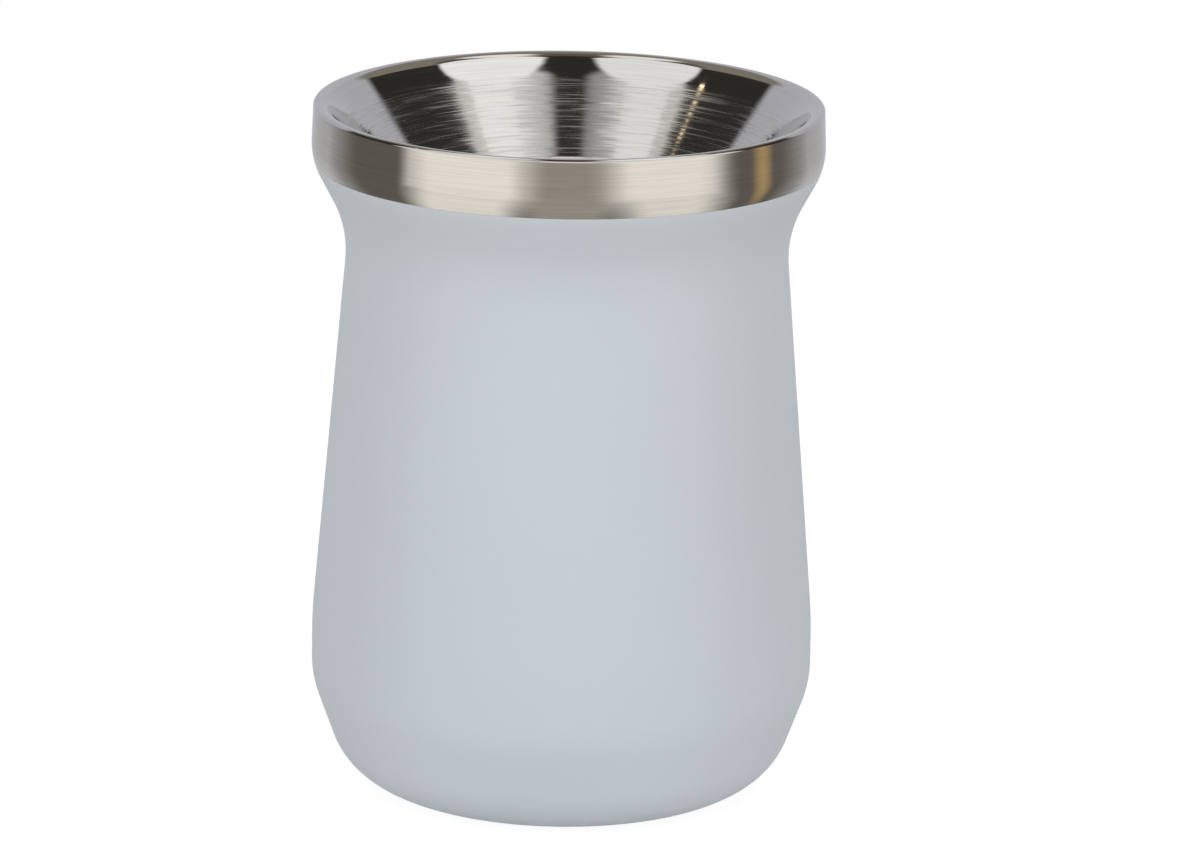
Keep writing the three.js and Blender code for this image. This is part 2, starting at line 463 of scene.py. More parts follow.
class Effect:
    """A shader node group that several finishes share."""

    def __init__(
        self, name: str, inputs: dict[str, float], outputs: tuple[str, ...], normals: tuple[str, ...] = ()
    ) -> None:
        """Makes a group with nothing between its inputs and outputs.

        Args:
            name: The group's name.
            inputs: Default values by the input's name.
            outputs: Names of the outputs that are numbers.
            normals: Names of the outputs that are normals.
        """
        self.tree = bpy.data.node_groups.new(name, "ShaderNodeTree")
        for key, value in inputs.items():
            socket = self.tree.interface.new_socket(key, in_out="INPUT", socket_type="NodeSocketFloat")
            socket.default_value = value
        for key in outputs:
            self.tree.interface.new_socket(key, in_out="OUTPUT", socket_type="NodeSocketFloat")
        for key in normals:
            self.tree.interface.new_socket(key, in_out="OUTPUT", socket_type="NodeSocketVector")
        self.graph = Graph(self.tree)
        self.given = self.graph.add("NodeGroupInput").outputs

    def place(self, graph: Graph, **values: Any) -> bpy.types.bpy_prop_collection:
        """Places the group in a material.

        Args:
            graph: The material's graph.
            values: Numbers or sockets by the input's name in small letters.

        Returns:
            The group's outputs.
        """
        node = graph.add("ShaderNodeGroup", node_tree=self.tree)
        for key, value in values.items():
            graph.feed(value, node.inputs[key.capitalize()])
        return node.outputs


class SpunLines(Effect):
    """Fine lines that run round the axis, as a brush leaves them on a spinning cup."""

    # Each layer of lines has its rate, its share and an offset of its own
    LAYERS = ((1.0, 0.6, 0.0), (1.9, 0.4, 7.3), (0.35, 0.25, 19.1))
    SPREAD = 0.13
    DEEP = 3.0
    DEEP_FROM = 0.58
    DEEP_FULL = 0.72

    def __init__(self) -> None:
        """Builds the group. Pitch and arc are in metres, and tilt is a groove's slope."""
        inputs = {"Pitch": 0.0004, "Arc": 0.02, "Tilt": 0.05}
        super().__init__("spun_lines", inputs, ("Tone", "Groove"), ("Normal",))
        graph = self.graph
        out, radius, height = graph.about_axis()
        spoke = graph.vector("NORMALIZE", out)
        across = graph.math("DIVIDE", graph.math("ADD", radius, height), self.given["Pitch"])
        around = graph.scaled(spoke, graph.math("DIVIDE", radius, self.given["Arc"]))
        slope, tone, groove = 0.0, 0.0, 0.0
        for rate, share, offset in self.LAYERS:
            step = graph.math("MULTIPLY_ADD", across, rate, offset)
            climb = graph.add("ShaderNodeCombineXYZ", {"Z": step}).outputs[0]
            noise = graph.noise(graph.vector("ADD", around, climb), 1.0, 1.0)
            parts = graph.add("ShaderNodeSeparateXYZ", {0: noise["Color"]}).outputs
            side = graph.math("SUBTRACT", parts["X"], 0.5)
            cut = graph.ramp(parts["Z"], self.DEEP_FROM, self.DEEP_FULL, 0.0, 1.0)
            deep = graph.math("MULTIPLY_ADD", cut, share * (self.DEEP - 1.0), share)
            slope = graph.math("MULTIPLY_ADD", side, graph.math("DIVIDE", deep, self.SPREAD), slope)
            tone = graph.math("MULTIPLY_ADD", parts["Y"], share, tone)
            groove = graph.math("MAXIMUM", groove, cut)
        face = graph.add("ShaderNodeNewGeometry").outputs["Normal"]
        along = graph.vector("CROSS_PRODUCT", (0.0, 0.0, 1.0), spoke)
        downhill = graph.vector("CROSS_PRODUCT", face, along)
        normal = graph.tilted(graph.scaled(downhill, graph.math("MULTIPLY", slope, self.given["Tilt"])))
        graph.add("NodeGroupOutput", {"Tone": tone, "Groove": groove, "Normal": normal})


class Grain(Effect):
    """Even speckle, for sprayed powder, rolled sheet, pressed powder and cured glue."""

    LUMP_RATE = 0.23
    LUMP_SHARE = 0.6
    SPECK_SHARE = 0.4
    MIDDLE = (0.5, 0.5, 0.5)

    def __init__(self) -> None:
        """Builds the group. Size is a grain's size in metres, and tilt its slope."""
        super().__init__("grain", {"Size": 0.0005, "Tilt": 0.05}, ("Height", "Tone"), ("Normal",))
        graph = self.graph
        place = graph.spot()
        scale = graph.math("DIVIDE", 1.0, self.given["Size"])
        specks = graph.noise(place, scale, 2.0)
        lumps = graph.noise(place, graph.math("MULTIPLY", scale, self.LUMP_RATE), 1.0)
        fine = graph.math("MULTIPLY", specks[0], self.SPECK_SHARE)
        height = graph.math("MULTIPLY_ADD", lumps[0], self.LUMP_SHARE, fine)
        side = graph.vector("SUBTRACT", specks["Color"], self.MIDDLE)
        normal = graph.tilted(graph.scaled(side, self.given["Tilt"]))
        graph.add("NodeGroupOutput", {"Height": height, "Tone": specks[0], "Normal": normal})


class Drift(Effect):
    """Slow change of tone over a surface, from spraying, rolling and handling."""

    def __init__(self) -> None:
        """Builds the group. Size is the size of a patch in metres."""
        super().__init__("drift", {"Size": 0.03}, ("Tone",))
        graph = self.graph
        noise = graph.noise(graph.spot(), graph.math("DIVIDE", 1.0, self.given["Size"]), 3.0)
        graph.add("NodeGroupOutput", {"Tone": graph.ramp(noise[0], NOISE_LOW, NOISE_HIGH, 0.0, 1.0)})


@dataclass(frozen=True)
class Effects:
    """The shared effects, built once."""

    spun_lines: SpunLines = field(default_factory=SpunLines)
    grain: Grain = field(default_factory=Grain)
    drift: Drift = field(default_factory=Drift)


def shade(colour: Colour, factor: float) -> Colour:
    """A colour made lighter or darker by a factor."""
    return tuple(channel * factor for channel in colour)


@dataclass(frozen=True)
class Finish:
    """A surface finish that becomes one material.

    Dark and light are the factors of its colour at the ends of its tone. Rough_low and rough_high are its
    roughness there.
    """

    slot: Slot
    colour: Colour
    dark: float
    light: float
    rough_low: float
    rough_high: float

    def material(self, effects: Effects) -> bpy.types.Material:
        """Builds the material.

        Args:
            effects: The shared effects.

        Returns:
            The material, named for its slot.
        """
        material = bpy.data.materials.new(self.slot.value)
        material.use_nodes = True
        material.node_tree.nodes.clear()
        graph = Graph(material.node_tree)
        surface = graph.add("ShaderNodeBsdfPrincipled")
        self.dress(graph, surface, effects)
        graph.add("ShaderNodeOutputMaterial", {"Surface": surface.outputs[0]})
        return material

    def dress(self, graph: Graph, surface: bpy.types.Node, effects: Effects) -> None:
        """Wires colour, gloss and relief into the surface.

        Args:
            graph: The material's graph.
            surface: Its Principled BSDF.
            effects: The shared effects.
        """
        raise NotImplementedError

    def tint(self, graph: Graph, tone: Socket) -> Socket:
        """Colour that runs from dark to light with a tone from 0 to 1."""
        return graph.blend(tone, shade(self.colour, self.dark), shade(self.colour, self.light))

    def gloss(self, graph: Graph, tone: Socket, low: float = NOISE_LOW, high: float = NOISE_HIGH) -> Socket:
        """Roughness that follows a tone between two of its values."""
        return graph.ramp(tone, low, high, self.rough_low, self.rough_high)


def relief(graph: Graph, surface: bpy.types.Node, height: Socket, depth: float) -> None:
    """Feeds a height into the surface's normal.

    Args:
        graph: The material's graph.
        surface: Its Principled BSDF.
        height: Height from 0 to 1.
        depth: Height of the relief in metres.
    """
    bump = graph.add("ShaderNodeBump", {"Height": height, "Distance": depth, "Strength": 1.0})
    graph.feed(bump.outputs[0], surface.inputs["Normal"])


@dataclass(frozen=True)
class PowderCoat(Finish):
    """Satin sprayed powder, baked on the shell."""

    slot: Slot = Slot.COAT
    colour: Colour = (0.565, 0.600, 0.640)
    dark: float = 0.99
    light: float = 1.01
    rough_low: float = 0.46
    rough_high: float = 0.54
    patch_size: float = 0.035
    grain_size: float = 0.0006
    grain_tilt: float = 0.08
    speck_dark: float = 0.985
    speck_light: float = 1.015
    speck_share: float = 0.4

    def dress(self, graph: Graph, surface: bpy.types.Node, effects: Effects) -> None:
        """Wires a slow change of tone and the powder's fine pebble.

        Args:
            graph: The material's graph.
            surface: Its Principled BSDF.
            effects: The shared effects.
        """
        tone = effects.drift.place(graph, size=self.patch_size)["Tone"]
        grain = effects.grain.place(graph, size=self.grain_size, tilt=self.grain_tilt)
        speck_ends = shade(self.colour, self.speck_dark), shade(self.colour, self.speck_light)
        speck = graph.blend(grain["Tone"], *speck_ends)
        colour = graph.blend(self.speck_share, self.tint(graph, tone), speck)
        graph.feed(colour, surface.inputs["Base Color"])
        graph.feed(self.gloss(graph, grain["Height"]), surface.inputs["Roughness"])
        graph.feed(grain["Normal"], surface.inputs["Normal"])


@dataclass(frozen=True)
class SpunSteel(Finish):
    """Bare stainless steel: brushed round the axis, finer on the band, polished over the lip.

    Rough_low is the polished roughness and rough_high the brushed one.
    """

    slot: Slot = Slot.SPUN_STEEL
    colour: Colour = (0.64, 0.615, 0.575)
    dark: float = 0.94
    light: float = 1.04
    rough_low: float = 0.05
    rough_high: float = 0.115
    groove_roughness: float = 0.2
    tone_low: float = 0.4
    tone_high: float = 0.8
    pitch: float = 0.00024
    arc: float = 0.012
    groove_tilt: float = 0.03
    band_share: float = 0.2
    lip_share: float = 0.1
    polish_start: float = 0.1056
    polish_full: float = 0.1074
    band_polish_full: float = 0.1084
    band_radius: float = 0.0386
    anisotropy: float = 0.85
    quarter_turn: float = 0.25

    def brushing(self, graph: Graph) -> Socket:
        """How strongly the surface is brushed, from 0 on a polished face to 1 in the funnel.

        Args:
            graph: The material's graph.

        Returns:
            The mask's socket.
        """
        _, radius, height = graph.about_axis()
        inside = graph.ramp(height, self.polish_start, self.polish_full, 1.0, self.lip_share)
        outside = graph.ramp(
            height, self.polish_full, self.band_polish_full, self.band_share, self.lip_share
        )
        band = graph.math("GREATER_THAN", radius, self.band_radius)
        return graph.math("MULTIPLY_ADD", band, graph.math("SUBTRACT", outside, inside), inside)

    def dress(self, graph: Graph, surface: bpy.types.Node, effects: Effects) -> None:
        """Wires brush lines into tone, gloss and normal.

        Args:
            graph: The material's graph.
            surface: Its Principled BSDF.
            effects: The shared effects.
        """
        brushed = self.brushing(graph)
        tilt = graph.math("MULTIPLY", brushed, self.groove_tilt)
        lines = effects.spun_lines.place(graph, pitch=self.pitch, arc=self.arc, tilt=tilt)
        tone = graph.ramp(lines["Tone"], self.tone_low, self.tone_high, 0.0, 1.0)
        graph.feed(self.tint(graph, tone), surface.inputs["Base Color"])
        groove = graph.math("MULTIPLY", lines["Groove"], brushed)
        rough = graph.math("MULTIPLY", groove, self.groove_roughness)
        gloss = self.gloss(graph, brushed, 0.0, 1.0)
        graph.feed(graph.math("ADD", gloss, rough), surface.inputs["Roughness"])
        graph.feed(lines["Normal"], surface.inputs["Normal"])
        graph.feed(1.0, surface.inputs["Metallic"])
        graph.feed(self.anisotropy, surface.inputs["Anisotropic"])
        graph.feed(self.quarter_turn, surface.inputs["Anisotropic Rotation"])
        tangent = graph.add("ShaderNodeTangent", direction_type="RADIAL", axis="Z")
        graph.feed(tangent.outputs[0], surface.inputs["Tangent"])


@dataclass(frozen=True)
class StampedSteel(Finish):
    """Stamped stainless sheet, as it came from the rolling mill."""

    slot: Slot = Slot.RAW_STEEL
    colour: Colour = (0.48, 0.47, 0.45)
    dark: float = 0.9
    light: float = 1.08
    rough_low: float = 0.35
    rough_high: float = 0.49
    stain_size: float = 0.009
    grain_size: float = 0.0002
    depth: float = 0.000004

    def dress(self, graph: Graph, surface: bpy.types.Node, effects: Effects) -> None:
        """Wires mill marks and forming stains.

        Args:
            graph: The material's graph.
            surface: Its Principled BSDF.
            effects: The shared effects.
        """
        tone = effects.drift.place(graph, size=self.stain_size)["Tone"]
        grain = effects.grain.place(graph, size=self.grain_size)
        graph.feed(self.tint(graph, tone), surface.inputs["Base Color"])
        graph.feed(self.gloss(graph, grain["Tone"]), surface.inputs["Roughness"])
        graph.feed(1.0, surface.inputs["Metallic"])
        relief(graph, surface, grain["Height"], self.depth)


@dataclass(frozen=True)
class SolderGlass(Finish):
    """Dark glass, fused over the evacuation hole."""

    slot: Slot = Slot.SOLDER_GLASS
    colour: Colour = (0.07, 0.06, 0.05)
    dark: float = 0.7
    light: float = 1.4
    rough_low: float = 0.1
    rough_high: float = 0.22
    cloud_size: float = 0.0025
    depth: float = 0.00003

    def dress(self, graph: Graph, surface: bpy.types.Node, effects: Effects) -> None:
        """Wires a cloudy tone and a flowed surface.

        Args:
            graph: The material's graph.
            surface: Its Principled BSDF.
            effects: The shared effects.
        """
        tone = effects.drift.place(graph, size=self.cloud_size)["Tone"]
        graph.feed(self.tint(graph, tone), surface.inputs["Base Color"])
        graph.feed(self.gloss(graph, tone, 0.0, 1.0), surface.inputs["Roughness"])
        relief(graph, surface, tone, self.depth)


@dataclass(frozen=True)
class SinteredAlloy(Finish):
    """Pressed and sintered getter powder."""

    slot: Slot = Slot.SINTERED_ALLOY
    colour: Colour = (0.09, 0.088, 0.08)
    dark: float = 0.5
    light: float = 1.7
    rough_low: float = 0.9
    rough_high: float = 0.65
    metal_share: float = 0.6
    grain_size: float = 0.00025
    depth: float = 0.00004

    def dress(self, graph: Graph, surface: bpy.types.Node, effects: Effects) -> None:
        """Wires coarse metal grains.

        Args:
            graph: The material's graph.
            surface: Its Principled BSDF.
            effects: The shared effects.
        """
        grain = effects.grain.place(graph, size=self.grain_size)
        graph.feed(self.tint(graph, grain["Tone"]), surface.inputs["Base Color"])
        graph.feed(self.gloss(graph, grain["Tone"]), surface.inputs["Roughness"])
        graph.feed(self.metal_share, surface.inputs["Metallic"])
        relief(graph, surface, grain["Height"], self.depth)


@dataclass(frozen=True)
class BondFilm(Finish):
    """Cured cream adhesive."""

    slot: Slot = Slot.BOND_FILM
    colour: Colour = (0.68, 0.64, 0.54)
    dark: float = 0.92
    light: float = 1.04
    rough_low: float = 0.5
    rough_high: float = 0.7
    stain_size: float = 0.006
    grain_size: float = 0.0008
    depth: float = 0.00003

    def dress(self, graph: Graph, surface: bpy.types.Node, effects: Effects) -> None:
        """Wires a yellowed, slightly lumpy film.

        Args:
            graph: The material's graph.
            surface: Its Principled BSDF.
            effects: The shared effects.
        """
        tone = effects.drift.place(graph, size=self.stain_size)["Tone"]
        grain = effects.grain.place(graph, size=self.grain_size)
        graph.feed(self.tint(graph, tone), surface.inputs["Base Color"])
        graph.feed(self.gloss(graph, grain["Tone"]), surface.inputs["Roughness"])
        relief(graph, surface, grain["Height"], self.depth)


@dataclass(frozen=True)
class Workshop:
    """The lathe and the finishes that every sub-assembly uses."""

    lathe: Lathe
    finishes: dict[Slot, bpy.types.Material]
    nodes: dict[str, bpy.types.Object]

    def turn(self, name: str, profile: list[Vector], slot: Slot, node: CadNode) -> None:
        """Turns a piece and sets it on the frame.

        Args:
            name: The piece's name.
            profile: Its closed profile in millimetres.
            slot: Its material slot.
            node: CAD solid that it replaces.
        """
        piece = self.lathe.turn(name, profile, self.finishes[slot])
        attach(piece, "root")
        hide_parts(node.value)
        LOG.info("%s: %d faces, stands for %s", name, len(piece.data.polygons), node.value)

    def dress(self, node: CadNode, slot: Slot) -> None:
        """Gives a CAD solid that stays its finish.

        Args:
            node: The solid.
            slot: Its material slot.
        """
        solid = self.nodes[node.value]
        solid.data.materials.clear()
        solid.data.materials.append(self.finishes[slot])
        LOG.info("%s: CAD solid, dressed as %s", node.value, slot.value)


@dataclass
class CupSkin:
    """The line that the cup's whole skin follows: foot, outside, lip, funnel and chamber wall."""

    height: float = 110.0
    rim_radius: float = 40.0
    foot_hole_radius: float = 21.0
    base_radius: float = 33.6
    base_fillet: float = 12.0
    shoulder_radius: float = 39.8
    shoulder_height: float = 17.1
    shoulder_fillet: float = 16.5
    belly_radius: float = 39.75
    belly_height: float = 27.2
    belly_fillet: float = 78.0
    waist_radius: float = 34.4
    waist_drop: float = 19.9
    waist_fillet: float = 19.0
    band_radius: float = 40.335
    band_drop: float = 8.7
    band_fillet: float = 10.4
    lip_width: float = 1.7
    lip_outer_fillet: float = 0.5
    lip_inner_fillet: float = 2.8
    flare_radius: float = 36.1
    flare_drop: float = 2.2
    flare_fillet: float = 30.0
    funnel_depth: float = 14.8
    chamber_radius: float = 26.4
    throat_fillet: float = 1.2
    floor_seam: float = 20.5

    def __post_init__(self) -> None:
        """Settles the outline once, because every sheet is a shift of it."""
        self.outline = Outline((
            Corner(self.foot_hole_radius, 0.0),
            Corner(self.base_radius, 0.0, self.base_fillet),
            Corner(self.shoulder_radius, self.shoulder_height, self.shoulder_fillet),
            Corner(self.belly_radius, self.belly_height, self.belly_fillet),
            Corner(self.waist_radius, self.height - self.waist_drop, self.waist_fillet),
            Corner(self.band_radius, self.height - self.band_drop, self.band_fillet),
            Corner(self.rim_radius, self.height, self.lip_outer_fillet),
            Corner(self.rim_radius - self.lip_width, self.height, self.lip_inner_fillet),
            Corner(self.flare_radius, self.height - self.flare_drop, self.flare_fillet),
            Corner(self.chamber_radius, self.height - self.funnel_depth, self.throat_fillet),
            Corner(self.chamber_radius, self.floor_seam),
        )).settled()

    def at(self, depth: float) -> list[Vector]:
        """Points of the skin at a depth below its outer face."""
        return self.outline.shifted(depth).traced()


@dataclass
class CupWalls:
    """Coated outer shell and bare steel liner, joined at the band."""

    skin: CupSkin
    sheet: float = 0.5
    seam_gap: float = 0.012
    band_height: float = 9.2
    band_lap: float = 4.0
    edge_round: float = 0.012

    def build(self, workshop: Workshop) -> None:
        """Turns the shell and the liner.

        Args:
            workshop: Lathe and finishes.
        """
        edge = self.skin.height - self.band_height
        workshop.turn("coated_shell", self.shell(edge), Slot.COAT, CadNode.OUTER_SHELL)
        workshop.turn("steel_liner", self.liner(edge), Slot.SPUN_STEEL, CadNode.INNER_LINER)

    def shell(self, edge: float) -> list[Vector]:
        """Profile of the shell: flush with the band, then joggled in to tuck up behind it.

        Args:
            edge: Height of the band's lower edge.

        Returns:
            Points of the closed profile.
        """
        top = edge - self.seam_gap
        tuck = self.sheet + self.seam_gap
        outside = split_at(self.skin.at(0.0), top - self.edge_round)[0]
        crown = split_at(self.skin.at(self.edge_round), top)[0][-1:]
        inside = split_at(self.skin.at(self.sheet), top - self.sheet)[0]
        lap_top = edge + self.band_lap
        lap_outside = split_at(split_at(self.skin.at(tuck), top)[1], lap_top)[0]
        lap_start = split_at(self.skin.at(tuck + self.sheet), top - self.sheet)[1]
        lap_inside = split_at(lap_start, lap_top)[0]
        return [*outside, *crown, *lap_outside, *reversed(lap_inside), *reversed(inside), outside[0]]

    def liner(self, edge: float) -> list[Vector]:
        """Profile of the liner: band, rolled lip, funnel and chamber wall of one sheet.

        Args:
            edge: Height of the band's lower edge.

        Returns:
            Points of the closed profile.
        """
        show = split_at(self.skin.at(0.0), edge + self.edge_round)[1]
        corner = split_at(self.skin.at(self.edge_round), edge)[1][0]
        hidden = split_at(self.skin.at(self.sheet), edge)[1]
        return [corner, *show, *reversed(hidden), corner]


@dataclass
class ChamberFloor:
    """Floor dish of the drinking chamber."""

    skin: CupSkin
    sheet: float = 0.5
    seam_gap: float = 0.1
    floor_height: float = 9.5
    floor_fillet: float = 8.0

    def build(self, workshop: Workshop) -> None:
        """Turns the dish.

        Args:
            workshop: Lathe and finishes.
        """
        dish = Outline((
            Corner(self.skin.chamber_radius, self.skin.floor_seam - self.seam_gap),
            Corner(self.skin.chamber_radius, self.floor_height, self.floor_fillet),
            Corner(0.0, self.floor_height),
        ))
        profile = [*dish.traced(), *reversed(dish.shifted(self.sheet).traced())]
        workshop.turn("chamber_floor", profile, Slot.SPUN_STEEL, CadNode.LINER_BOTTOM)


@dataclass
class CupBase:
    """Stamped pan, glued cover, sealed port and getter under the vacuum jacket."""

    skin: CupSkin
    sheet: float = 0.5
    seam_gap: float = 0.1
    pan_lap: float = 3.5
    pan_fillet: float = 0.6
    pan_arc_step: float = math.radians(5.0)
    pan_underside: float = 2.3
    port_radius: float = 4.5
    port_roof: float = 4.1
    port_hole_radius: float = 1.0
    cover_recess: float = 1.6
    cover_sheet: float = 0.4
    cover_clearance: float = 0.4
    cover_edge: float = 0.15
    ring_pitch: float = 0.7
    ring_depth: float = 0.012
    ring_points: int = 6

    def build(self, workshop: Workshop) -> None:
        """Turns the pan and the cover, and dresses the pieces behind them.

        Args:
            workshop: Lathe and finishes.
        """
        workshop.turn("stamped_pan", self.pan(), Slot.RAW_STEEL, CadNode.BASE_PAN)
        workshop.turn("spun_cover", self.cover(), Slot.SPUN_STEEL, CadNode.BASE_COVER)
        workshop.dress(CadNode.COVER_ADHESIVE, Slot.BOND_FILM)
        workshop.dress(CadNode.SEAL_BEAD, Slot.SOLDER_GLASS)
        workshop.dress(CadNode.GETTER_PILL, Slot.SINTERED_ALLOY)
        workshop.dress(CadNode.GETTER_CLIP, Slot.RAW_STEEL)

    def pan(self) -> list[Vector]:
        """Profile of the pan: rim on the foot flange, raised panel, dimple and evacuation hole.

        Returns:
            Points of the closed profile.
        """
        rim = self.sheet + self.seam_gap
        underside = Outline((
            Corner(self.skin.foot_hole_radius + self.pan_lap, rim),
            Corner(self.skin.foot_hole_radius, rim, self.pan_fillet),
            Corner(self.skin.foot_hole_radius, self.pan_underside, self.pan_fillet),
            Corner(self.port_radius, self.pan_underside, self.pan_fillet),
            Corner(self.port_radius, self.port_roof, self.pan_fillet),
            Corner(self.port_hole_radius, self.port_roof),
        ), self.pan_arc_step).settled()
        topside = underside.shifted(-self.sheet).traced()
        return [*topside, *reversed(underside.traced()), topside[0]]

    def cover(self) -> list[Vector]:
        """Profile of the cover, with fine turned rings on its underside.

        Returns:
            Points from the axis round the edge and back to the axis.
        """
        radius = self.skin.foot_hole_radius - self.cover_clearance
        top = self.cover_recess + self.cover_sheet
        edge = Outline((
            Corner(radius - 2 * self.cover_edge, self.cover_recess),
            Corner(radius, self.cover_recess, self.cover_edge),
            Corner(radius, top, self.cover_edge),
            Corner(0.0, top),
        )).traced()
        rings = round(edge[0].x / self.ring_pitch)
        steps = rings * self.ring_points
        turned = []
        for step in range(steps):
            wave = (1 - math.cos(math.tau * step / self.ring_points)) / 2
            turned.append(Vector((edge[0].x * step / steps, self.cover_recess + self.ring_depth * wave)))
        return [*turned, *edge]


@dataclass
class PhotoCamera:
    """Camera that sees the cup as the photograph does."""

    image_width: float = 1200.0
    image_height: float = 848.0
    cup_middle_x: float = 564.25
    cup_middle_y: float = 442.65
    focal_pixels: float = 6833.3
    sensor: float = 36.0
    distance: float = 1082.5
    middle_height: float = 55.0
    elevation: float = 15.24
    roll: float = 0.87

    def build(self) -> None:
        """Makes the camera and hands it to the scene."""
        data = bpy.data.cameras.new("photo_camera")
        data.sensor_fit = "HORIZONTAL"
        data.sensor_width = self.sensor
        data.lens = self.focal_pixels / self.image_width * self.sensor
        data.shift_x = (self.image_width / 2 - self.cup_middle_x) / self.image_width
        data.shift_y = (self.cup_middle_y - self.image_height / 2) / self.image_width
        camera = bpy.data.objects.new("photo_camera", data)
        bpy.context.scene.collection.objects.link(camera)
        rise = math.radians(self.elevation)
        back = Vector((0.0, -math.cos(rise), math.sin(rise)))
        camera.location = (Vector((0.0, 0.0, self.middle_height)) + back * self.distance) * MM
        level = (-back).to_track_quat("-Z", "Y").to_matrix()
        rolled = level @ Matrix.Rotation(math.radians(self.roll), 3, "Z")
        camera.rotation_euler = rolled.to_euler()
        bpy.context.scene.camera = camera


class ZoneShape(Enum):
    """Outline of a patch of the surround."""

    PANEL = "panel"
    OVAL = "oval"


class Chart(Enum):
    """How a patch's place is told.

    The compass gives the angle from the camera's side and the height, in degrees. The ceiling gives the
    way to the right and the way back, in percent of the ceiling's height.
    """

    COMPASS = "compass"
    CEILING = "ceiling"


Charts = dict[Chart, tuple[Socket, Socket]]


@dataclass(frozen=True)
class LightZone:
    """A patch of the surround.

    Side and rise place its middle on its chart, and slant leans it over. In_metal is the colour that a
    shiny surface sees there, where it isn't the one that lights the cup.
    """

    shape: ZoneShape
    side: float
    rise: float
    half_width: float
    half_height: float
    colour: Colour
    softness: float = 3.0
    both_sides: bool = True
    chart: Chart = Chart.COMPASS
    slant: float = 0.0
    in_metal: Colour | None = None

    def mask(self, graph: Graph, charts: Charts) -> Socket:
        """Where the patch is.

        Args:
            graph: The world's graph.
            charts: Place of a direction on each chart, as sockets.

        Returns:
            A mask from 0 to 1.
        """
        side, rise = charts[self.chart]
        if self.both_sides:
            side = graph.math("ABSOLUTE", side)
        above = graph.math("SUBTRACT", rise, self.rise)
        middle = graph.math("MULTIPLY_ADD", above, self.slant, self.side)
        across = graph.math("ABSOLUTE", graph.math("SUBTRACT", side, middle))
        up = graph.math("ABSOLUTE", above)
        if self.shape is ZoneShape.PANEL:
            past_side = graph.math("SUBTRACT", across, self.half_width)
            past_top = graph.math("SUBTRACT", up, self.half_height)
            past = graph.math("MAXIMUM", past_side, past_top)
        else:
            wide = graph.math("POWER", graph.math("DIVIDE", across, self.half_width), 2.0)
            high = graph.math("POWER", graph.math("DIVIDE", up, self.half_height), 2.0)
            ratio = graph.math("SQRT", graph.math("ADD", wide, high))
            size = min(self.half_width, self.half_height)
            past = graph.math("MULTIPLY", graph.math("SUBTRACT", ratio, 1.0), size)
        return graph.ramp(past, -self.softness, self.softness, 1.0, 0.0)

    def lay(self, graph: Graph, charts: Charts, glossy: Socket, under: Any) -> Socket:
        """Lays the patch over the patches before it.

        Args:
            graph: The world's graph.
            charts: Place of a direction on each chart, as sockets.
            glossy: Socket that is 1 where a shiny surface looks.
            under: Light of the patches before it.

        Returns:
            The socket of the light with the patch in it.
        """
        colour = graph.blend(glossy, self.colour, self.in_metal) if self.in_metal else self.colour
        return graph.blend(self.mask(graph, charts), under, colour)


PANEL, OVAL, CEILING = ZoneShape.PANEL, ZoneShape.OVAL, Chart.CEILING

# Dim floor at both sides, a warm glint low on the right, and the pale floor behind
LOW_AND_BACK = (
    LightZone(PANEL, 100.0, -30.0, 26.0, 28.0, (0.15, 0.14, 0.125), 8.0),
    LightZone(PANEL, 100.0, -56.0, 30.0, 14.0, (0.34, 0.32, 0.29), 9.0),
    LightZone(OVAL, 97.0, -12.0, 4.5, 18.0, (0.5, 0.36, 0.18), 4.0, False, slant=-0.25),
    LightZone(PANEL, 180.0, -30.0, 54.0, 28.0, (0.6, 0.61, 0.63), 20.0),
)
# Backdrop, with a dim ceiling and a dim wall above it, and the wall's warm edge
BACKDROP = (
    LightZone(PANEL, 180.0, 66.0, 50.0, 16.0, (0.15, 0.135, 0.11), 6.0),
    LightZone(OVAL, 180.0, 14.0, 60.0, 27.0, (1.4, 1.4, 1.4), 1.8, in_metal=(0.55, 0.565, 0.635)),
    LightZone(PANEL, 160.0, 45.0, 40.0, 13.0, (0.27, 0.25, 0.215), 3.0, slant=-1.31),
    LightZone(PANEL, 121.5, 45.0, 1.5, 9.0, (0.45, 0.4, 0.3), 1.5, False, slant=-1.31),
)
# Table in front, the space above it, and the table's bright parts under the two strip boxes
FRONT = (
    LightZone(PANEL, 0.0, -30.0, 24.0, 28.0, (0.42, 0.4, 0.36), 12.0),
    LightZone(PANEL, 0.0, 22.0, 17.0, 24.0, (0.4, 0.39, 0.37), 8.0, in_metal=(0.95, 0.92, 0.88)),
    LightZone(PANEL, -51.7, -30.0, 26.4, 28.0, (1.06, 1.04, 0.985), 11.0, False, slant=0.31),
    LightZone(PANEL, 51.6, -30.0, 24.4, 30.0, (1.0, 0.98, 0.93), 14.0, False, slant=-0.31),
)
# Tops, faces and lower edges of the strip boxes
STRIP_BOXES = (
    LightZone(PANEL, 49.5, 39.0, 32.5, 11.0, (0.85, 0.85, 0.83), 3.0),
    LightZone(PANEL, 49.5, 14.0, 32.5, 16.0, (2.27, 2.33, 2.34), 4.0, in_metal=(1.0, 1.0, 0.98)),
    LightZone(
        PANEL, -50.5, -4.0, 23.0, 4.0, (1.7, 1.72, 1.7), 9.0, False, in_metal=(1.36, 1.33, 1.28)
    ),
    LightZone(
        PANEL, 46.5, -4.0, 19.0, 4.0, (1.7, 1.72, 1.7), 14.0, False, in_metal=(1.36, 1.33, 1.28)
    ),
)
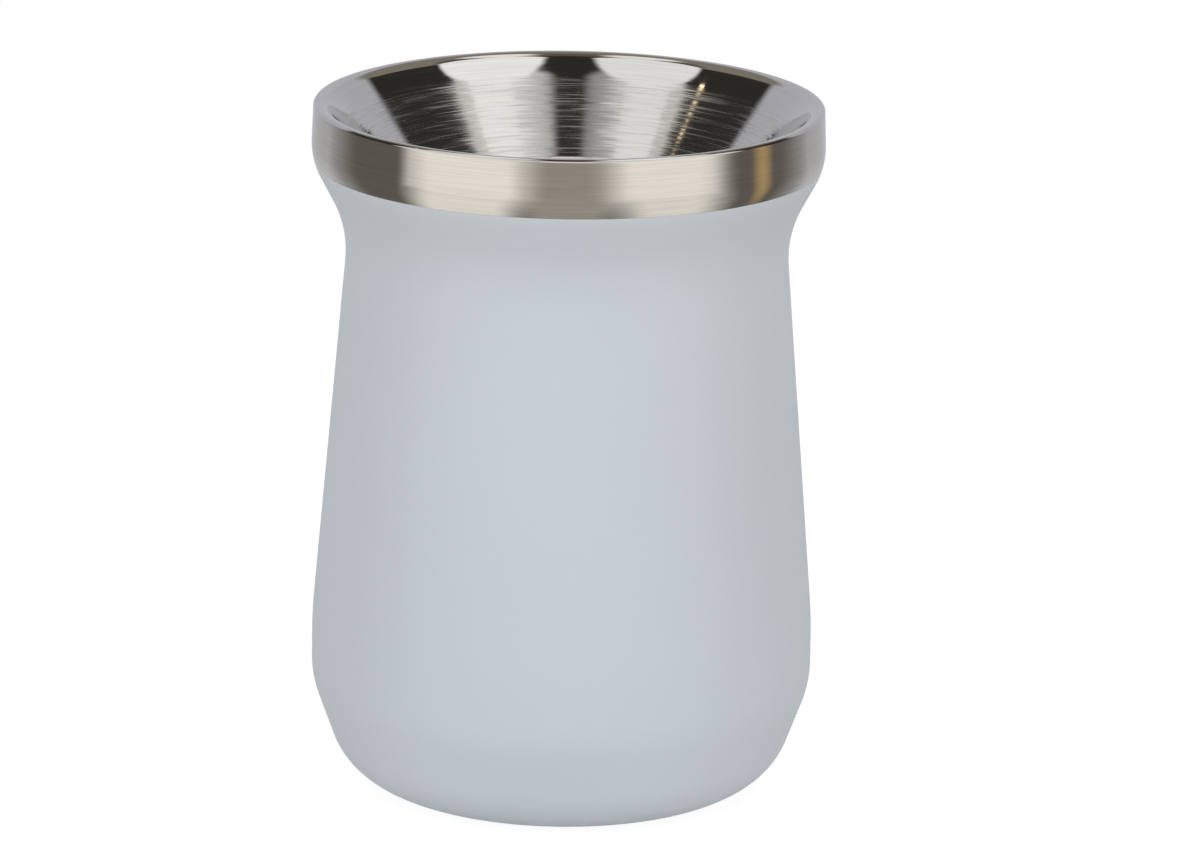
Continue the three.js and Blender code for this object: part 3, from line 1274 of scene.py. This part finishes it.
# Pair of ceiling lights behind the cup, then three pairs of round boxes towards the camera
OVERHEAD = (
    LightZone(
        OVAL, 20.0, 43.0, 11.0, 27.0, (0.15, 0.14, 0.12), 3.0, True, CEILING, in_metal=(1.1, 1.12, 1.14)
    ),
    LightZone(OVAL, 34.0, -50.0, 22.0, 18.0, (0.72, 0.73, 0.75), 4.0, False, CEILING),
    LightZone(OVAL, -34.0, -50.0, 22.0, 18.0, (0.42, 0.43, 0.45), 4.0, False, CEILING),
    LightZone(OVAL, 63.0, -38.0, 21.0, 19.0, (1.22, 1.23, 1.22), 2.5, False, CEILING),
    LightZone(OVAL, -63.0, -38.0, 21.0, 19.0, (1.02, 1.05, 1.08), 2.5, False, CEILING),
    LightZone(OVAL, 45.0, -10.0, 33.8, 35.0, (1.2, 1.23, 1.26), 2.5, False, CEILING),
    LightZone(OVAL, -45.0, -10.0, 33.8, 35.0, (1.08, 1.11, 1.15), 2.5, False, CEILING),
)


@dataclass
class Studio:
    """White table and backdrop, strip boxes at cup height, round boxes above, and a small warm lamp.

    Table_shown is the share of plain white that the camera sees on the table, and the glow is a faint
    light that the table gives off round the cup's foot.
    """

    room: Colour = (0.035, 0.033, 0.03)
    zones: tuple[LightZone, ...] = (*LOW_AND_BACK, *BACKDROP, *FRONT, *STRIP_BOXES, *OVERHEAD)
    chart_scale: float = 100.0
    lowest_ceiling: float = 0.01
    table_radius: float = 300.0
    table_drop: float = 0.02
    table_sides: int = 96
    table_grey: float = 0.8
    table_white: float = 1.25
    table_shown: float = 0.7
    glow_share: float = 0.14
    glow_start: float = 50.0
    glow_end: float = 150.0
    lamp_colour: Colour = (1.0, 0.8, 0.54)
    lamp_power: float = 0.42
    lamp_radius: float = 60.0
    lamp_side: float = -94.4
    lamp_rise: float = 48.6
    lamp_distance: float = 3066.0

    def build(self) -> None:
        """Lights the scene and lays the table."""
        bpy.context.scene.view_settings.view_transform = "Standard"
        self._world()
        self._table()
        self._lamp()

    def _world(self) -> None:
        """Surrounds the cup with light patches in a dark room. The camera itself sees white."""
        world = bpy.data.worlds.new("studio")
        bpy.context.scene.world = world
        world.use_nodes = True
        world.node_tree.nodes.clear()
        graph = Graph(world.node_tree)
        way = graph.add("ShaderNodeTexCoord").outputs["Generated"]
        split = graph.add("ShaderNodeSeparateXYZ", {0: way}).outputs
        front = graph.math("MULTIPLY", split["Y"], -1.0)
        angle = graph.math("DEGREES", graph.math("ARCTAN2", split["X"], front))
        height = graph.math("DEGREES", graph.math("ARCSINE", split["Z"]))
        climb = graph.math("MAXIMUM", split["Z"], self.lowest_ceiling)
        ceiling = graph.math("DIVIDE", self.chart_scale, climb)
        charts = {
            Chart.COMPASS: (angle, height),
            Chart.CEILING: tuple(graph.math("MULTIPLY", split[axis], ceiling) for axis in "XY"),
        }
        ray = graph.add("ShaderNodeLightPath").outputs
        light: Any = self.room
        for zone in self.zones:
            light = zone.lay(graph, charts, ray["Is Glossy Ray"], light)
        lit = graph.add("ShaderNodeBackground", {"Color": light, "Strength": 1.0})
        white = graph.add("ShaderNodeBackground", {"Color": (1.0, 1.0, 1.0, 1.0), "Strength": 1.0})
        share = graph.math("MAXIMUM", ray["Is Camera Ray"], ray["Is Transmission Ray"])
        shown = graph.add("ShaderNodeMixShader", {0: share, 1: lit.outputs[0], 2: white.outputs[0]})
        graph.add("ShaderNodeOutputWorld", {"Surface": shown.outputs[0]})

    def _table(self) -> None:
        """Lays a round white table that the camera sees as white with a soft shadow."""
        radius = self.table_radius * MM
        turns = [math.tau * side / self.table_sides for side in range(self.table_sides)]
        rim = [(radius * math.cos(turn), radius * math.sin(turn), -self.table_drop * MM) for turn in turns]
        mesh = bpy.data.meshes.new("table")
        mesh.from_pydata(rim, [], [tuple(range(self.table_sides))])
        table = bpy.data.objects.new("table", mesh)
        bpy.context.scene.collection.objects.link(table)
        mesh.materials.append(self._table_finish())
        table.visible_glossy = False

    def _table_finish(self) -> bpy.types.Material:
        """White for the camera, pale with a faint glow for other light, and clear from below.

        Returns:
            The table's material.
        """
        material = bpy.data.materials.new("table_white")
        material.use_nodes = True
        material.node_tree.nodes.clear()
        graph = Graph(material.node_tree)
        pale = graph.add("ShaderNodeBsdfDiffuse", {"Color": (*(self.table_grey,) * 3, 1.0)})
        white = {"Color": (1.0, 1.0, 1.0, 1.0), "Strength": self.table_white}
        glow = graph.add("ShaderNodeEmission", white)
        ray = graph.add("ShaderNodeLightPath").outputs
        direct = graph.math("MAXIMUM", ray["Is Camera Ray"], ray["Is Transmission Ray"])
        away = graph.vector("LENGTH", graph.spot())
        near = graph.ramp(away, self.glow_start * MM, self.glow_end * MM, self.glow_share, 0.0)
        share = graph.math("MAXIMUM", graph.math("MULTIPLY", direct, self.table_shown), near)
        top = graph.add("ShaderNodeMixShader", {0: share, 1: pale.outputs[0], 2: glow.outputs[0]})
        clear = graph.add("ShaderNodeBsdfTransparent")
        below = graph.add("ShaderNodeNewGeometry").outputs["Backfacing"]
        surface = graph.add("ShaderNodeMixShader", {0: below, 1: top.outputs[0], 2: clear.outputs[0]})
        graph.add("ShaderNodeOutputMaterial", {"Surface": surface.outputs[0]})
        return material

    def _lamp(self) -> None:
        """Hangs a small warm lamp, which draws one streak down the funnel."""
        data = bpy.data.lights.new("warm_lamp", "POINT")
        data.color = self.lamp_colour
        data.energy = self.lamp_power
        data.shadow_soft_size = self.lamp_radius * MM
        lamp = bpy.data.objects.new("warm_lamp", data)
        side, rise = math.radians(self.lamp_side), math.radians(self.lamp_rise)
        flat = math.cos(rise)
        way = Vector((math.sin(side) * flat, -math.cos(side) * flat, math.sin(rise)))
        lamp.location = way * self.lamp_distance * MM
        bpy.context.scene.collection.objects.link(lamp)


def main() -> None:
    """Builds the cup in its studio."""
    logging.basicConfig(level=logging.INFO, format="%(name)s %(message)s")
    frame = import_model()
    effects = Effects()
    recipes = (PowderCoat(), SpunSteel(), StampedSteel(), SolderGlass(), SinteredAlloy(), BondFilm())
    finishes = {recipe.slot: recipe.material(effects) for recipe in recipes}
    workshop = Workshop(Lathe(), finishes, frame["nodes"])
    skin = CupSkin()
    for assembly in (CupWalls(skin), ChamberFloor(skin), CupBase(skin)):
        assembly.build(workshop)
    Studio().build()
    PhotoCamera().build()


if __name__ == "__main__":
    main()
